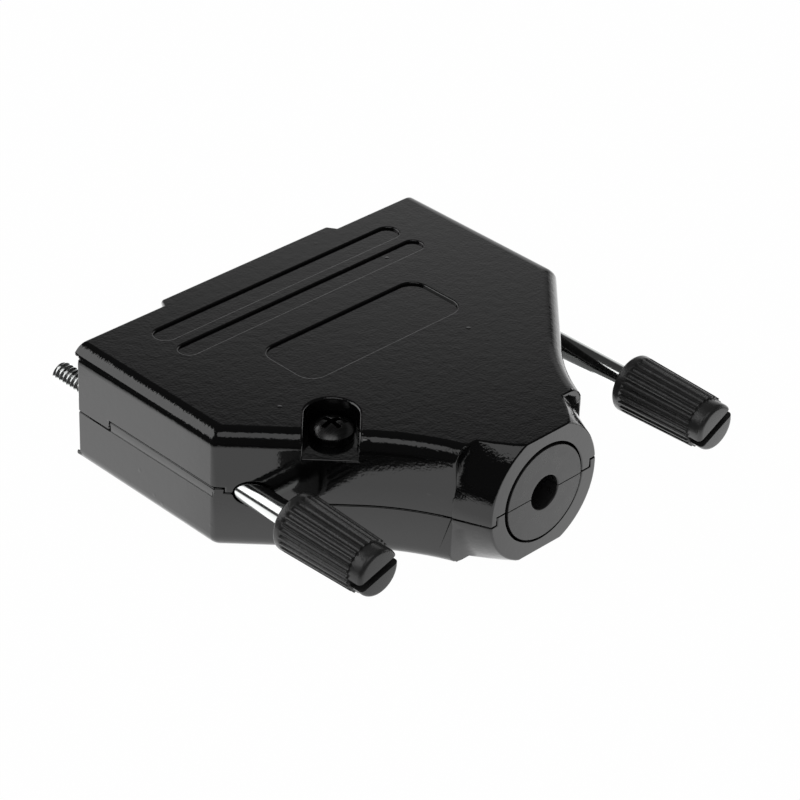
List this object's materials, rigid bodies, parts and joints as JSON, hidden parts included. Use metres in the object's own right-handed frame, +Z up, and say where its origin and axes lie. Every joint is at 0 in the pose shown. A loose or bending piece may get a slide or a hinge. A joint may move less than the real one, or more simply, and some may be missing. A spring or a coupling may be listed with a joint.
{
  "type": "d-sub hood",
  "caption": "Tapered split cable hood for a wide D-sub connector, with captive thumbscrews, a clamping cable bush and a flared neck.",
  "frame": {"origin": "on the cable axis at mid-thickness, in the plane where the connector's flange seats, midway between the two thumbscrews", "axes": "+Y along the cable axis towards the cable exit, +X across the width, +Z up through the thickness"},
  "size_m": [0.054, 0.057, 0.015],
  "materials": {
    "hood": "glossy black moulding with a faint orange peel",
    "bush": "satin black moulding",
    "zinc_screw": "bright zinc plate",
    "spring_steel": "bright spring steel",
    "nickel": "polished nickel plate",
    "knob": "satin black moulding"
  },
  "bodies": {
    "hood": {"hood_upper": "hood", "hood_lower": "hood", "bush_upper": "bush", "bush_lower": "bush", "assembly_screw_near": "zinc_screw", "assembly_screw_far": "zinc_screw"},
    "ring_near": {"retaining_ring_near": "spring_steel"},
    "ring_far": {"retaining_ring_far": "spring_steel"},
    "thumbscrew_near": {"thumbscrew_shank_near": "nickel", "thumbscrew_knob_near": "knob"},
    "thumbscrew_far": {"thumbscrew_shank_far": "nickel", "thumbscrew_knob_far": "knob"}
  },
  "joints": [
    {"name": "near_screw_slide", "type": "slide", "parent": "hood", "child": "ring_near", "axis": [0, 1, 0], "range_m": [0, 0.006]},
    {"name": "near_screw_turn", "type": "hinge", "parent": "ring_near", "child": "thumbscrew_near", "pos_m": [0.02352, 0, 0], "axis": [0, 1, 0], "continuous": true},
    {"name": "far_screw_slide", "type": "slide", "parent": "hood", "child": "ring_far", "axis": [0, 1, 0], "range_m": [-0.0053, 0.0007]},
    {"name": "far_screw_turn", "type": "hinge", "parent": "ring_far", "child": "thumbscrew_far", "pos_m": [-0.02352, 0, 0], "axis": [0, 1, 0], "continuous": true}
  ]
}
